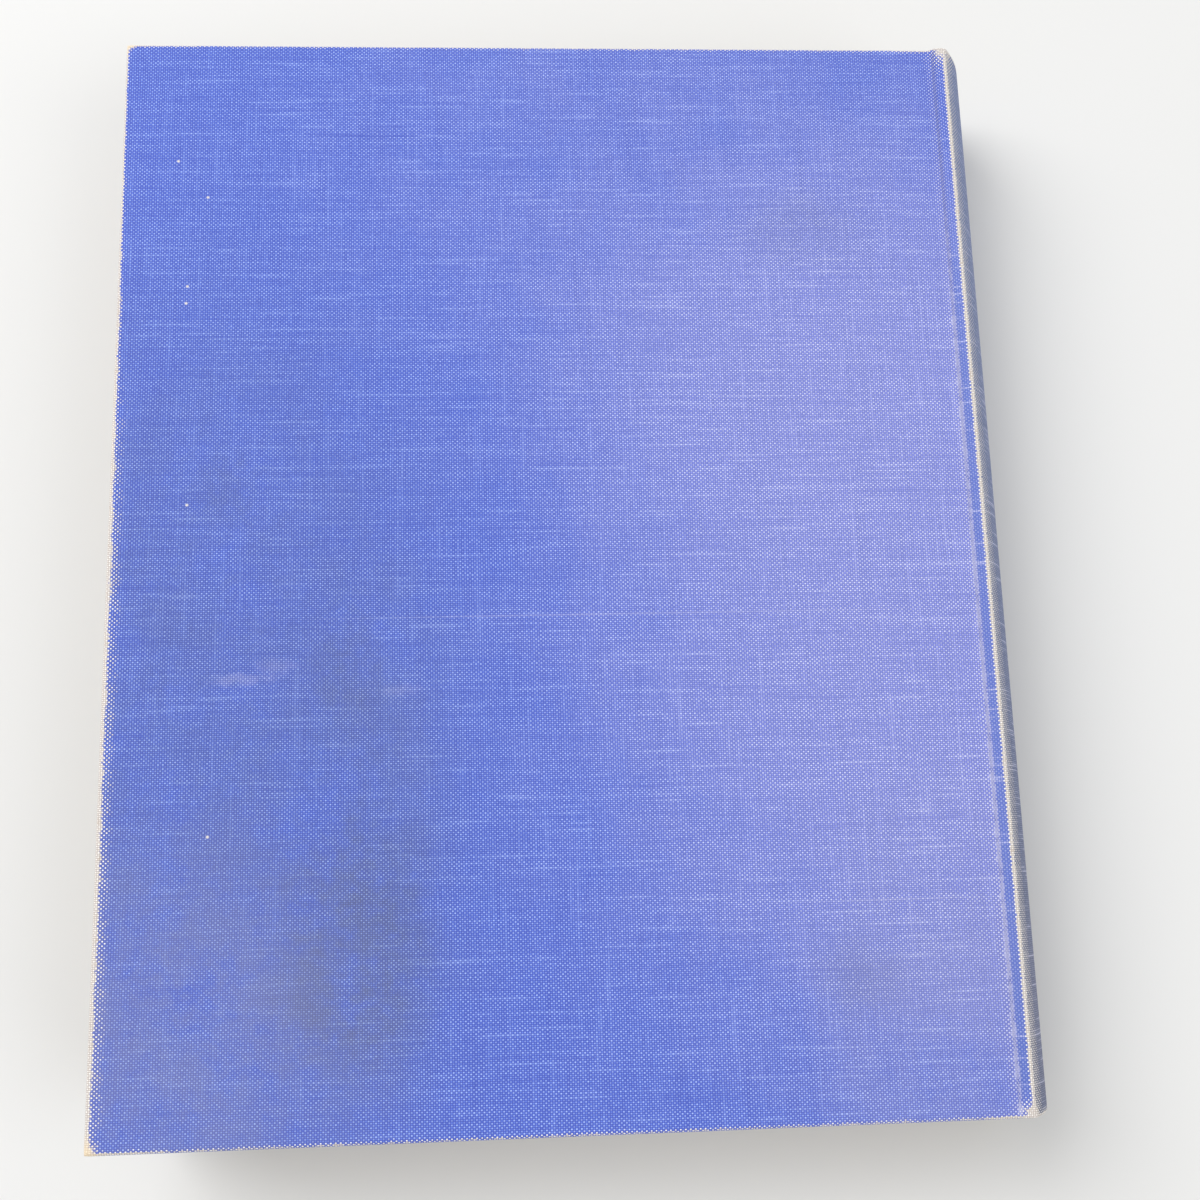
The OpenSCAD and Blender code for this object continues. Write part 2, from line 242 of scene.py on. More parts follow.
def case_section():
    """Section of the rear half of the case, from the middle of the spine to the fore-edge corner.

    The outside runs along the round of the spine, over the ridge, down into the groove, over the
    board's edge and across the flat. The inside is where the turned-in cloth lies: a fold's
    thickness under the spine and the groove, then along the shoulder and under the board.
    Returns outside, inside and the distance along the cloth, which equals x on the flat.
    """
    groove_start = bearing(GROOVE_C, RIDGE_C) + 360
    groove_end = bearing(GROOVE_C, EDGE_C) + 360
    spine, spine_n = arc(SPINE_C, SPINE_R, 0, RIDGE_ANGLE, SPINE_STEPS)
    ridge, ridge_n = arc(RIDGE_C, RIDGE_R, RIDGE_ANGLE, bearing(RIDGE_C, GROOVE_C), RIDGE_STEPS)
    fall, fall_n = arc(GROOVE_C, GROOVE_R, groove_start, 270, FALL_STEPS)
    rise, _ = arc(GROOVE_C, GROOVE_R, 270, groove_end, RISE_STEPS)
    edge, _ = arc(EDGE_C, JOINT_EDGE_R, bearing(EDGE_C, GROOVE_C), 90, EDGE_STEPS)
    near = JOINT_EDGE_X - np.array([0.8, 1.8, 3.0])
    flat_x = np.concatenate([near, np.linspace(near[-1], CORNER_R, FLAT_STEPS + 1)[1:]])
    flat = points_of(flat_x, FACE_Z)

    angle = np.linspace(0, RIDGE_ANGLE, SPINE_STEPS + 1)
    card = smooth_step(RIDGE_ANGLE - 2, RIDGE_ANGLE - 6, angle)
    fold = 2 * CLOTH_T + INLAY_T * card
    back_inside = np.concatenate([
        spine - spine_n * fold[:, None], (ridge - ridge_n * 2 * CLOTH_T)[1:],
        (fall + fall_n * 2 * CLOTH_T)[1:]
    ])
    shoulder, _ = arc(SHOULDER_C, SHOULDER_R + PASTE_D, 90, 180, 8)
    foot = np.array([[shoulder[-1, 0], LIP_Z], [near[-1], LIP_Z]])
    board_side = np.concatenate([rise[1:], edge[1:], flat[:len(near)]])
    share = path_length(np.concatenate([rise[:1], board_side]))[1:]
    board_inside = along(np.concatenate([shoulder, foot]), share / share[-1])
    flat_inside = points_of(flat_x[len(near):], LIP_Z)

    outside = np.concatenate([spine, ridge[1:], fall[1:], board_side, flat[len(near):]])
    inside = np.concatenate([back_inside, board_inside, flat_inside])
    length = path_length(outside)
    return outside, inside, length[-1] - length + CORNER_R


def wrap_profile(depth):
    """Cloth wrapped over an edge: a quarter round, a straight side and a quarter round back.

    Returns two arrays with a row for each step: how far inside the edge a point lies, and what
    share of the depth it has gone down. It starts on the face at CORNER_R from the edge.
    """
    depth = np.asarray(depth, float)
    radius = np.minimum(EDGE_R, 0.46 * depth)
    turn = np.radians(np.linspace(0, 90, WRAP_STEPS + 1))[:, None]
    rows_in = [
        np.full((1, depth.size), CORNER_R), radius * (1 - np.sin(turn)), np.zeros((2, depth.size)),
        radius * (1 - np.cos(turn)), np.full((1, depth.size), CORNER_R)
    ]
    side = 1 - 2 * radius / depth
    lower = 1 - radius / depth
    rows_down = [
        np.zeros((1, depth.size)), radius * (1 - np.cos(turn)) / depth,
        radius / depth + np.array([[1 / 3], [2 / 3]]) * side,
        lower + radius / depth * np.sin(turn), np.ones((1, depth.size))
    ]
    return np.concatenate(rows_in), np.concatenate(rows_down)


# Ends of the case by the section: place across, distance along the cloth, and height of each end
CaseEnds = collections.namedtuple("CaseEnds", "x run head tail")


def rubbed(distance, width):
    """How exposed a point is to rubbing: 1 at the middle of an edge, falling off over width."""
    return np.exp(-(distance / width) ** 2)


# Soft marks on the rear cover: centre and half size in millimetres from the fore-edge and the
# tail, then strength
# The first list is a paler patch towards the spine: painted sheen of reflected light, partly sun
# fading
SHEEN_AND_FADE_SPOTS = [((212, 105), (124, 132), 1.0), ((130, 225), (105, 85), 0.42)]
GRIME_SPOTS = [
    ((57, 39), (20, 31), 0.36), ((58, 27), (10, 10), 0.12), ((62, 78), (18, 56), 0.11),
    ((20, 80), (65, 120), 0.29), ((29, 148), (8, 9), 0.20), ((166, 211), (18, 11), 0.16),
    ((168, 32), (11, 9), 0.16), ((56, 104), (9, 12), 0.18)
]
DUST_SPOTS = [((14, 20), (48, 50), 0.22), ((192, 18), (40, 55), 0.15)]


def soft_spots(spots, u, v):
    """Sum of soft ovals over the cloth: each is 1 inside, 0 outside and times its strength."""
    total = np.zeros(len(u))
    for (x, y), (half_x, half_y), strength in spots:
        distance = np.hypot((u - x) / half_x, (v - y) / half_y)
        total += strength * smooth_step(1.35, 0.25, distance)
    return total


def cloth_marks(points, ends):
    """Wear, fading, dirt, painted light and shade on the case cloth: 0 to 1 for each point, by
    name.

    A point is given as case_cloth gives it, by its place and its distances along the cloth.
    """
    x, z, _, u, v = points.T
    bend = EDGE_R * (1 - math.sqrt(0.5))
    on_face = smooth_step(3.1, 1.6, np.where(x < JOINT_EDGE_X, FACE_Z - z, 0))
    from_tail = v - np.interp(u, ends.run, ends.tail)
    from_head = np.interp(u, ends.run, ends.head) - v
    end_gap = np.abs(np.minimum(from_tail, from_head) - bend)
    corner_gap = np.hypot(np.minimum(np.abs(from_tail), 1.5 * np.abs(from_head)), u)
    crest = np.interp(RIDGE_C[0], ends.x, ends.run)
    cap_gap = np.hypot(u - crest, 0.9 * np.minimum(from_tail, from_head))
    worn_ends = 1 + 0.5 * smooth_step(22, 6, u) + 0.6 * smooth_step(COVER_W - 14, COVER_W, u)
    lower = smooth_step(0.95 * COVER_H, 0.45 * COVER_H, v)
    upper = smooth_step(0.4 * COVER_H, 0.6 * COVER_H, v)
    near_head = smooth_step(0.66 * COVER_H, 0.92 * COVER_H, v)
    # Along the joint the pale mark is rubbed cloth and partly painted light on the board's edge
    joint = rubbed(x - JOINT_EDGE_X - 0.9, 1.6) * (z > LIP_Z + 0.1)
    # The groove mark lays painted shade in the groove, partly cloth kept from fading, and picks
    # pale threads across it
    groove = smooth_step(HINGE_X - 0.7, HINGE_X - 0.1, x) * (1 - rubbed(cap_gap, 4))
    return {
        "fore_rub": rubbed(u - 0.6 * bend, 0.55 + 0.85 * lower) * on_face,
        "end_rub": rubbed(end_gap, 0.5) * on_face * worn_ends,
        "corner_rub": rubbed(corner_gap, 2.7) * on_face,
        "cap_rub": rubbed(cap_gap, 3.0 + 1.4 * upper),
        "ridge_rub": rubbed(u - crest - 0.1, 0.66),
        "strip_rub": smooth_step(crest, crest + 0.6, u) * smooth_step(crest + 5, crest + 1, u),
        "joint_rub_and_light": joint * (1 - 0.35 * near_head),
        "groove": groove * (1 - 0.65 * near_head),
        "spine": smooth_step(crest - 0.1, crest + 0.6, u),
        "head_end": smooth_step(-0.2 * COVER_H, COVER_H, v),
        "sheen_and_fade": soft_spots(SHEEN_AND_FADE_SPOTS, u, v),
        "grime": soft_spots(GRIME_SPOTS, u, v),
        "dust": soft_spots(DUST_SPOTS, u, v)
    }


def case_body(outside, inside, run, tail, head):
    """Cloth over the section and the height, wrapped over the tail and the head.

    Returns the grid, the heights of its rows at the fore-edge and how far the wraps run.
    """
    depth = np.linalg.norm(inside - outside, axis=1)
    wrap_in, wrap_down = wrap_profile(depth)
    step_length = np.hypot(np.diff(wrap_in, axis=0), np.diff(wrap_down, axis=0) * depth)
    wrap_run = np.concatenate([np.zeros((1, len(depth))), np.cumsum(step_length, axis=0)])
    share = np.linspace(0, 1, HEIGHT_STEPS + 1)[1:-1, None]
    flat_y = CORNER_R + tail + share * (head - tail - 2 * CORNER_R)
    y = np.concatenate([(tail + wrap_in)[::-1], flat_y, head - wrap_in])
    v = np.concatenate([CORNER_R + tail - wrap_run[::-1], flat_y, head - CORNER_R + wrap_run])
    down = np.concatenate([wrap_down[::-1], np.zeros(flat_y.shape), wrap_down])
    section = outside + (inside - outside) * down[..., None]
    near_end = smooth_step(GROOVE_FILL_Y, 0.8, np.minimum(y, head - y))
    over_groove = smooth_step(JOINT_EDGE_X - 0.5, HINGE_X - 0.5, outside[:, 0])
    over_groove = over_groove * smooth_step(RIDGE_C[0], HINGE_X + 0.5, outside[:, 0])
    filled = GROOVE_FILL * JOINT_D * near_end * over_groove * (1 - down)
    z = np.minimum(section[..., 1] + filled, FACE_Z)
    side_y = np.concatenate([[CORNER_R], flat_y[:, -1], [COVER_H - CORNER_R]])
    return points_of(section[..., 0], z, y, run, v), side_y, wrap_run[-1]


def fore_edge(side_y):
    """Cloth round the fore-edge at the given heights, with a corner at each end.

    In a corner a cell at steps i and j of its two wraps lies at step max(i, j) of the wrap,
    turned about the corner by the share of i and j. Returns the grid and how far the wrap runs.
    """
    edge_in, edge_down = (a[:, 0] for a in wrap_profile([FACE_Z - LIP_Z]))
    edge_z = FACE_Z - edge_down * (FACE_Z - LIP_Z)
    edge_run = path_length(points_of(edge_in, edge_z))
    y = side_y[:, None]
    grids = [points_of(edge_in[1:], edge_z[1:], y, CORNER_R - edge_run[1:], y)]
    i, j = np.meshgrid(np.arange(1, len(edge_in)), np.arange(1, len(edge_in)))
    k = np.maximum(i, j)
    turn = np.radians(np.where(i >= j, 45 * j / i, 90 - 45 * i / j))
    square = 1 / np.maximum(np.cos(turn), np.sin(turn)) - 1
    reach = (CORNER_R - edge_in[k]) * (1 + CORNER_POINT * square)
    for corner_y, sign in ((side_y[0], -1), (side_y[-1], 1)):
        grids.append(points_of(
            CORNER_R - reach * np.cos(turn), edge_z[k], corner_y + sign * reach * np.sin(turn),
            CORNER_R - edge_run[k] * np.cos(turn), corner_y + sign * edge_run[k] * np.sin(turn)
        ))
    return np.concatenate([grids[1][::-1], grids[0], grids[2]]), edge_run[-1]


def turn_ins(inside, run, tail, head, wrap_run, side_y, edge_run):
    """Flaps of cloth turned in over the tail, the head and the fore-edge, with mitred ends: each
    row further in is shorter by as much, less the gap between two flaps."""
    insets = np.array([CORNER_R, 3.0, 6.0, 10.0, TURN_IN])[:, None]
    left = insets + MITRE_GAP
    left[0] = CORNER_R
    x, z = inside.T
    far = x[-FLAT_STEPS]
    shrink = (far - left) / (far - CORNER_R)
    flap_x = np.where(x <= far, far + (x - far) * shrink, x)
    u = run + flap_x - x
    spent = wrap_run + insets - CORNER_R
    half = COVER_H / 2
    y = half + (side_y[:, None] - half) * ((half - left) / (half - CORNER_R)).T
    return (points_of(flap_x, z, tail + insets, u, CORNER_R + tail - spent),
            points_of(flap_x, z, head - insets, u, head - CORNER_R + spent),
            points_of(insets.T, LIP_Z, y, 2 * CORNER_R - edge_run - insets.T, y))


def case_cloth(name, side):
    """Half of the case cloth, rear for side 1 and front for side -1, as one sheet.

    It is a grid whose columns follow the section from the middle of the spine to the fore-edge
    and round it, and whose rows follow the height, with three flaps. A point has five numbers:
    x, z and y, then u and v, its distances along the cloth from the fore-edge and the tail.
    """
    outside, inside, run = case_section()
    x = outside[:, 0]
    climb = smooth_step(JOINT_EDGE_X - 0.4, JOINT_EDGE_X + 1.8, x)
    worn_off = np.clip((x - HINGE_X) / (SPINE_X - HINGE_X), 0, 1) ** 2
    head = COVER_H + (HEAD_Y - COVER_H) * climb - HEAD_DROP * worn_off
    tail = TAIL_DROP * worn_off
    case_ends = CaseEnds(x[::-1], run[::-1], head[::-1], tail[::-1])
    body, side_y, wrap_run = case_body(outside, inside, run, tail, head)
    fore, edge_run = fore_edge(side_y)
    over_tail, over_head, over_fore = turn_ins(inside, run, tail, head, wrap_run, side_y, edge_run)

    rear = side > 0
    points, faces = join_grids([
        (np.concatenate([body, fore], 1), rear), (over_tail, not rear), (over_head, rear),
        (over_fore, rear)
    ])
    x, z, y, u, v = points.T
    uv = points_of(u if rear else 2 * run[0] - u, v)
    cloth = new_mesh(name, points_of(x, y, side * z), faces, uv, cloth_marks(points, case_ends))
    past_edge = TURN_IN - 2 * CORNER_R
    flat = (run[0] + edge_run + past_edge, COVER_H + 2 * (wrap_run[-1] + past_edge))
    wall = cloth.modifiers.new("cloth", "SOLIDIFY")
    wall.thickness = 0.85 * CLOTH_T * MM
    wall.offset = -1
    wall.use_even_offset = False
    [length * MM for length in flat]
    return cloth


def leaf_heights(x, share):
    """Height of the leaves: z for places x along the book and shares of the thickness, -1 to 1.

    The leaves lie flat up to the shoulder, where the outermost climb a quarter round and then
    run under the groove. At the back their heights turn into equal steps along the round.
    """
    on_round = np.clip(x - SHOULDER_C[0], -SHOULDER_R, 0)
    climb = SHOULDER_C[1] + np.sqrt(SHOULDER_R ** 2 - on_round ** 2)
    under_groove = GROOVE_R + UNDER_PAPER
    groove = GROOVE_C[1] - np.sqrt(under_groove ** 2 - np.clip(x - GROOVE_C[0], 0, 2.2) ** 2)
    shoulder_x = SHOULDER_C[0] - SHOULDER_R
    half = np.where(x > shoulder_x - 1e-9, climb, PAGE_TOP)
    half = np.where(x > GROOVE_C[0], groove, half)
    tip = math.radians(TIP_ANGLE)
    near_back = smooth_step(shoulder_x - 14, SPINE_C[0] + PAGES_R * math.cos(tip), x)
    round_share = np.sin(share * tip) / math.sin(tip)
    return share * half + (round_share - share) * half * near_back


def text_leaves(name):
    """The pages as a stack of leaves: two rows of points a leaf, one on its cut edge and one in
    the slit to the next. The fore-edge follows the hollow, a circle through its deepest point,
    and the back follows the round. Each leaf is cut a few hundredths of a millimetre unevenly.
    A point has four numbers: its place and the number of its leaf.
    """
    rng = np.random.default_rng(7)
    rows = 2 * LEAVES + 1
    share = np.linspace(-1, 1, rows)[:, None]
    leaf = np.repeat(np.arange(LEAVES + 1), 2)[:rows]
    number = share * LEAVES / 2 + LEAVES / 2
    slit = np.where(np.arange(rows) % 2 == 0, 0.07, 0.0)
    slit[[0, -1]] = 0.0
    gather = np.repeat(rng.normal(0, 0.03, LEAVES // GATHER + 2), GATHER)[leaf]
    cuts = [gather + slit + np.abs(rng.normal(0, 0.02, LEAVES + 1))[leaf] for _ in range(3)]
    fore_cut, tail_cut, head_cut = np.clip(cuts, 0, 0.2)[..., None]

    half = PAGE_TOP - FORE_FLAT
    hollow_r = (half ** 2 + FORE_HOLLOW ** 2) / (2 * FORE_HOLLOW)
    hollow_c = PAGE_X0 + FORE_HOLLOW - hollow_r
    fore_z = np.clip(share * PAGE_TOP, -half, half)
    fore_x = np.maximum(hollow_c + np.sqrt(hollow_r ** 2 - fore_z ** 2), PAGE_X0) + fore_cut
    back_x = SPINE_C[0] + PAGES_R * np.cos(np.radians(share * TIP_ANGLE))
    shoulder_x = SHOULDER_C[0] - SHOULDER_R
    flat_end = shoulder_x - 1e-6
    steps = np.concatenate([np.linspace(0, 1, 16)[:-1] * 0.93, np.linspace(0.93, 0.975, 6)[:-2]])
    front = fore_x + steps * (flat_end - fore_x)
    near = np.broadcast_to(flat_end - np.array([2.0, 0.9, 0.3, 0.0]), (rows, 4))
    back = shoulder_x + np.linspace(0, 1, 12) ** 1.2 * (back_x - shoulder_x)
    x = np.concatenate([front, near, back], 1)
    z = leaf_heights(x, share)
    share_y = np.linspace(0, 1, 31)
    tail_y = PAGE_Y0 + tail_cut
    head_y = PAGE_Y1 - head_cut
    y = tail_y + share_y * (head_y - tail_y)
    lean = rng.normal(0, 1, (LEAVES + 1, 1))[leaf] * np.sin(share_y * math.pi) * 0.03

    fore_face = points_of(np.maximum(x[:, :1] + lean, PAGE_X0), y, z[:, :1], number)
    back_face = points_of(x[:, -1:], y, z[:, -1:], number)
    tail_face = points_of(x, tail_y, z, number)
    head_face = points_of(x, head_y, z, number)
    tail_face[:, 0] = fore_face[:, 0]
    head_face[:, 0] = fore_face[:, -1]
    grids = [(tail_face, False), (head_face, True), (fore_face, True), (back_face, False)]
    for row, turned in ((0, True), (-1, False)):
        cap = points_of(x[row], y[row][:, None], z[row], 0.0)
        cap[:, 0, :3] = fore_face[row, :, :3]
        grids.append((cap, turned))
    points, faces = join_grids(grids)
    return new_mesh(name, points[:, :3], faces, marks={"leaf": points[:, 3]})


def worked_band(name, head):
    """A head or tail band: cotton wound over a cord, with a flat skirt behind it.

    The bead is a tube round a circle about the spine's axis. Its radius swells once for each
    turn of thread, the turns lean by one pitch round the tube, and its ends are closed. A point
    has four numbers: its place and how many turns of thread lie before it.
    """
    threads = 78
    half = TIP_ANGLE - math.degrees(BAND_MARGIN / PAGES_R)
    turn = np.radians(np.linspace(-half, half, threads * 5 + 1))[:, None]
    round_it = np.radians(np.linspace(0, 360, 21))
    lean = turn / math.radians(2 * half) * threads * 2 * math.pi + round_it
    swell = BAND_R * (0.93 + 0.07 * np.abs(np.sin(lean / 2)))
    swell[[0, -1]] = 0.0
    out = MULL_R - BAND_R + swell * np.cos(round_it)
    y = PAGE_Y1 + BAND_R + swell * np.sin(round_it)
    turns = lean / (2 * math.pi)
    bead = points_of(SPINE_C[0] + out * np.cos(turn), y, out * np.sin(turn), turns)
    turn = np.radians(np.linspace(-half, half, 61))[:, None]
    near, far, top = MULL_R - MULL_T, MULL_R - GLUE_T, PAGE_Y1 + BAND_R
    out = np.array([near, far, far, near, near])
    y = np.array([SKIRT_Y, SKIRT_Y, top, top, SKIRT_Y])
    skirt = points_of(SPINE_C[0] + out * np.cos(turn), y, out * np.sin(turn), 0.0)
    points, faces = join_grids([(bead, False), (skirt, True)])
    first = bead[..., 0].size
    last = first + (len(skirt) - 1) * 5
    faces += [[first, first + 1, first + 2, first + 3], [last + 3, last + 2, last + 1, last]]
    if not head:
        points[:, 1] = COVER_H - points[:, 1]
        faces = [face[::-1] for face in faces]
    return new_mesh(name, points[:, :3], faces, marks={"thread": points[:, 3]})


def paper_hinge(name, side):
    """The strip of endpaper that bends between a pastedown and its flyleaf.

    A thin closed sheet: its section runs down the shoulder on the cover's side and on under the
    groove, carried along the height of the pages.
    """
    middle = PASTE_D / 2
    shoulder, normal = arc(SHOULDER_C, SHOULDER_R + middle, 172, 90, 12)
    past_x = np.linspace(HINGE_X, HINGE_X + BEND_HALF + 0.25, 7)[1:]
    past_z = np.linspace(middle, UNDER_PAPER - UNDER_FOLD + 0.05, 7)[1:]
    past_z = SHOULDER_C[1] + SHOULDER_R + past_z
    path = np.concatenate([shoulder, points_of(past_x, past_z)])
    normal = np.concatenate([normal, np.tile([0.0, 1.0], (len(past_x), 1))])
    half = 0.02
    loop = np.concatenate([path + half * normal, (path - half * normal)[::-1]])
    loop = np.concatenate([loop, loop[:1]])
    y = np.linspace(PAGE_Y0, PAGE_Y1, 40)[:, None]
    tube = points_of(loop[:, 0], y, side * loop[:, 1])
    points, faces = join_grids([(tube, side < 0)])
    count = len(path)
    for start, flip in ((0, side < 0), (len(points) - len(loop), side > 0)):
        for k in range(count - 1):
            face = [start + k, start + k + 1, start + 2 * count - 2 - k, start + 2 * count - 1 - k]
            faces.append(face[::-1] if flip else face)
    return new_mesh(name, points, faces)


class Value:
    """An output of a shader node. Arithmetic on it adds Math nodes and gives their output."""

    def __init__(self, graph, socket):
        self.graph = graph
        self.socket = socket

    def __add__(self, other):
        return self.graph.math("ADD", self, other)

    def __sub__(self, other):
        return self.graph.math("SUBTRACT", self, other)

    def __rsub__(self, other):
        return self.graph.math("SUBTRACT", other, self)

    def __mul__(self, other):
        return self.graph.math("MULTIPLY", self, other)

    def __truediv__(self, other):
        return self.graph.math("DIVIDE", self, other)


class Graph:
    """Shader nodes of a material, the world or a node group. Inputs are Values or plain values."""

    def __init__(self, tree, material=None):
        self.tree = tree
        self.material = material

    def add(self, kind, inputs=None, **settings):
        node = self.tree.nodes.new(kind)
        for key, value in settings.items():
            setattr(node, key, value)
        for key, value in (inputs or {}).items():
            if isinstance(value, Value):
                self.tree.links.new(value.socket, node.inputs[key])
            else:
                node.inputs[key].default_value = value
        return node

    def value(self, kind, inputs=None, output=0, **settings):
        """One output of a new node."""
        return Value(self, self.add(kind, inputs, **settings).outputs[output])

    def math(self, operation, first, second=0.0):
        return self.value("ShaderNodeMath", {0: first, 1: second}, operation=operation)

    def furthest(self, operation, values):
        """The MINIMUM or the MAXIMUM of several values."""
        result = values[0]
        for value in values[1:]:
            result = self.math(operation, result, value)
        return result

    def split(self, vector):
        """The three coordinates of a vector."""
        node = self.add("ShaderNodeSeparateXYZ", {0: vector})
        return [Value(self, socket) for socket in node.outputs]

    def noise(self, vector, scale=1.0, detail=2.0, roughness=0.5):
        inputs = {"Vector": vector, "Scale": scale, "Detail": detail, "Roughness": roughness}
        return self.value("ShaderNodeTexNoise", inputs)

    def chance(self, number):
        """A random number from 0 to 1 for each whole number."""
        return self.value("ShaderNodeTexWhiteNoise", {"W": number}, noise_dimensions="1D")

    def step(self, value, low, high):
        """0 at low, 1 at high and smooth between them; low may be the larger."""
        inputs = {"Value": value, "From Min": low, "From Max": high}
        return self.value("ShaderNodeMapRange", inputs, interpolation_type="SMOOTHSTEP")

    def layers(self, colour, *layers):
        """A colour with others laid over it in turn, each given as its share and its colour."""
        for share, over in layers:
            inputs = {0: share, 6: colour, 7: over}
            colour = self.value("ShaderNodeMix", inputs, 2, data_type="RGBA")
        return colour

    def stretch(self, vector, scale, shift=(0, 0, 0)):
        inputs = {"Vector": vector, "Scale": scale, "Location": shift}
        return self.value("ShaderNodeMapping", inputs)

    def place(self):
        """Where a point of the piece lies, in metres."""
        return self.value("ShaderNodeTexCoord", output="Object")

    def mark(self, name):
        return self.value("ShaderNodeAttribute", output="Fac", attribute_name=name)

    def group(self, group, inputs):
        """The outputs of a node group by name."""
        node = self.add("ShaderNodeGroup", inputs, node_tree=group)
        return {socket.name: Value(self, socket) for socket in node.outputs}


def node_group(name, inputs, build):
    """A shader group. Its inputs are given by name, each with its plain number or vector, and
    build makes its nodes from them and returns its outputs by name."""
    group = bpy.data.node_groups.new(name, "ShaderNodeTree")
    for label, value in inputs.items():
        kind = "NodeSocketVector" if isinstance(value, tuple) else "NodeSocketFloat"
        socket = group.interface.new_socket(label, in_out="INPUT", socket_type=kind)
        socket.default_value = value
    graph = Graph(group)
    entry = graph.add("NodeGroupInput")
    results = build(graph, {socket.name: Value(graph, socket) for socket in entry.outputs})
    for label in results:
        group.interface.new_socket(label, in_out="OUTPUT", socket_type="NodeSocketFloat")
    graph.add("NodeGroupOutput", results)
    return group


# Distances over which the tone of a weft and a warp thread changes, and how far apart in the
# noise two neighbouring threads read their tones
WEFT_RUN = 29.0
WARP_RUN = 36.0
LANE = 3.71


def weave_parts(graph, given):
    """Plain weave: threads cross in square cells and pass over each other by turns.

    The cell is the floor of each coordinate over its pitch, the thread on top goes by whether
    the two cell numbers add up to an even number, and each cell is a dome, sin(pi a) sin(pi b).
    A thread's tone changes slowly along it: noise over its number and the distance along it.
    """
    place = given["Vector"]
    x, y, _ = graph.split(place)
    drift_x = graph.noise(graph.stretch(place, (0.09, 0.035, 1)), detail=1.0)
    drift_y = graph.noise(graph.stretch(place, (0.03, 0.08, 1), (40, 7, 0)), detail=1.0)
    across = (x + (drift_x - 0.5) * given["Wander"]) / given["Warp pitch"]
    up = (y + (drift_y - 0.5) * given["Wander"]) / given["Weft pitch"]
    warp = graph.math("FLOOR", across)
    weft = graph.math("FLOOR", up)
    odd = graph.math("FLOORED_MODULO", warp + weft, 2.0)
    swell_x = graph.math("SINE", graph.math("FRACT", across) * math.pi)
    swell_y = graph.math("SINE", graph.math("FRACT", up) * math.pi)
    dome = swell_x * swell_y
    knuckle = graph.step(dome, 0.05, 0.8)
    tones = []
    for thread, distance, run in ((weft, x, WEFT_RUN), (warp, y, WARP_RUN)):
        lane = graph.value("ShaderNodeCombineXYZ", {0: distance / run, 1: thread * LANE})
        tones.append(graph.noise(lane, roughness=0.7))
    cell = graph.value("ShaderNodeCombineXYZ", {0: warp, 1: weft})
    return {
        "Weft knuckle": knuckle * odd,
        "Warp knuckle": knuckle * (1.0 - odd),
        "Height": graph.math("POWER", dome, 0.6) * (odd * 0.3 + 0.7),
        "Weft tone": tones[0],
        "Warp tone": tones[1],
        "Chance": graph.value("ShaderNodeTexWhiteNoise", {0: cell}, noise_dimensions="2D")
    }


def wear_parts(graph, given):
    """Rubbed edge: the exposure, broken by noise and by the threads, passes a soft threshold."""
    by_thread = (given["Thread"] - 0.5) * given["By thread"]
    level = given["Broken"] * given["Ragged"] + given["Exposure"] + by_thread
    over = graph.step(level - given["Threshold"], -0.10, 0.14)
    return {"Worn": over * graph.step(given["Exposure"], 0.02, 0.25)}


def spot_parts(graph, given):
    """Soft oval spot: the distance to its centre, counted in its half sizes and made uneven by a
    noise that all spots share, fades from 1 inside to 0 outside."""
    kind = "ShaderNodeVectorMath"
    away = graph.value(kind, {0: given["Vector"], 1: given["Centre"]}, operation="SUBTRACT")
    scaled = graph.value(kind, {0: away, 1: given["Half size"]}, operation="DIVIDE")
    distance = graph.value(kind, {0: scaled}, "Value", operation="LENGTH")
    uneven = (given["Noise"] - 0.5) * given["Uneven"]
    return {"Spot": graph.step(distance + uneven, 1.3, 0.3)}


def edge_tone_parts(graph, given):
    """Toning that creeps in from the edges of a sheet: the distance to the nearest of the four
    sides of a box in X and Y, in metres, made uneven by noise."""
    place, low, high = (graph.split(given[name]) for name in ("Vector", "Low", "High"))
    sides = [place[0] - low[0], high[0] - place[0], place[1] - low[1], high[1] - place[1]]
    near = graph.furthest("MINIMUM", sides)
    rough = graph.noise(given["Vector"], 60.0, 4.0, 0.6)
    return {"Tone": graph.step(near / given["Depth"] + (rough - 0.5) * 0.8, 1.0, 0.0)}


WEAVE = node_group("plain weave", {
    "Vector": (0, 0, 0), "Warp pitch": 0.536, "Weft pitch": 0.463, "Wander": 0.5
}, weave_parts)
WEAR = node_group("edge wear", {
    "Exposure": 0.0, "Broken": 0.0, "Ragged": 0.5, "Thread": 0.5, "By thread": 0.25,
    "Threshold": 0.6
}, wear_parts)
SPOT = node_group("soft spot", {
    "Vector": (0, 0, 0), "Centre": (0, 0, 0), "Half size": (1, 1, 1), "Noise": 0.5,
    "Uneven": 0.5
}, spot_parts)
EDGE_TONE = node_group("edge tone", {
    "Vector": (0, 0, 0), "Low": (0, 0, 0), "High": (1, 1, 1), "Depth": 0.02
}, edge_tone_parts)


def new_material(name):
    """The graph of a new material, without nodes."""
    material = bpy.data.materials.new(name)
    material.use_nodes = True
    material.node_tree.nodes.clear()
    return Graph(material.node_tree, material)


def finished(graph, colour, roughness, height=None, depth=0.0, gloss=0.1, sheen=0.0):
    """The material of a graph, as a Principled surface with a bump of the given depth."""
    inputs = {"Base Color": colour, "Roughness": roughness, "Specular IOR Level": gloss}
    inputs["Sheen Weight"] = sheen
    if height is not None:
        bump = {"Height": height, "Distance": depth, "Strength": 1.0}
        inputs["Normal"] = graph.value("ShaderNodeBump", bump)
    surface = graph.value("ShaderNodeBsdfPrincipled", inputs)
    graph.add("ShaderNodeOutputMaterial", {"Surface": surface})
    return graph.material


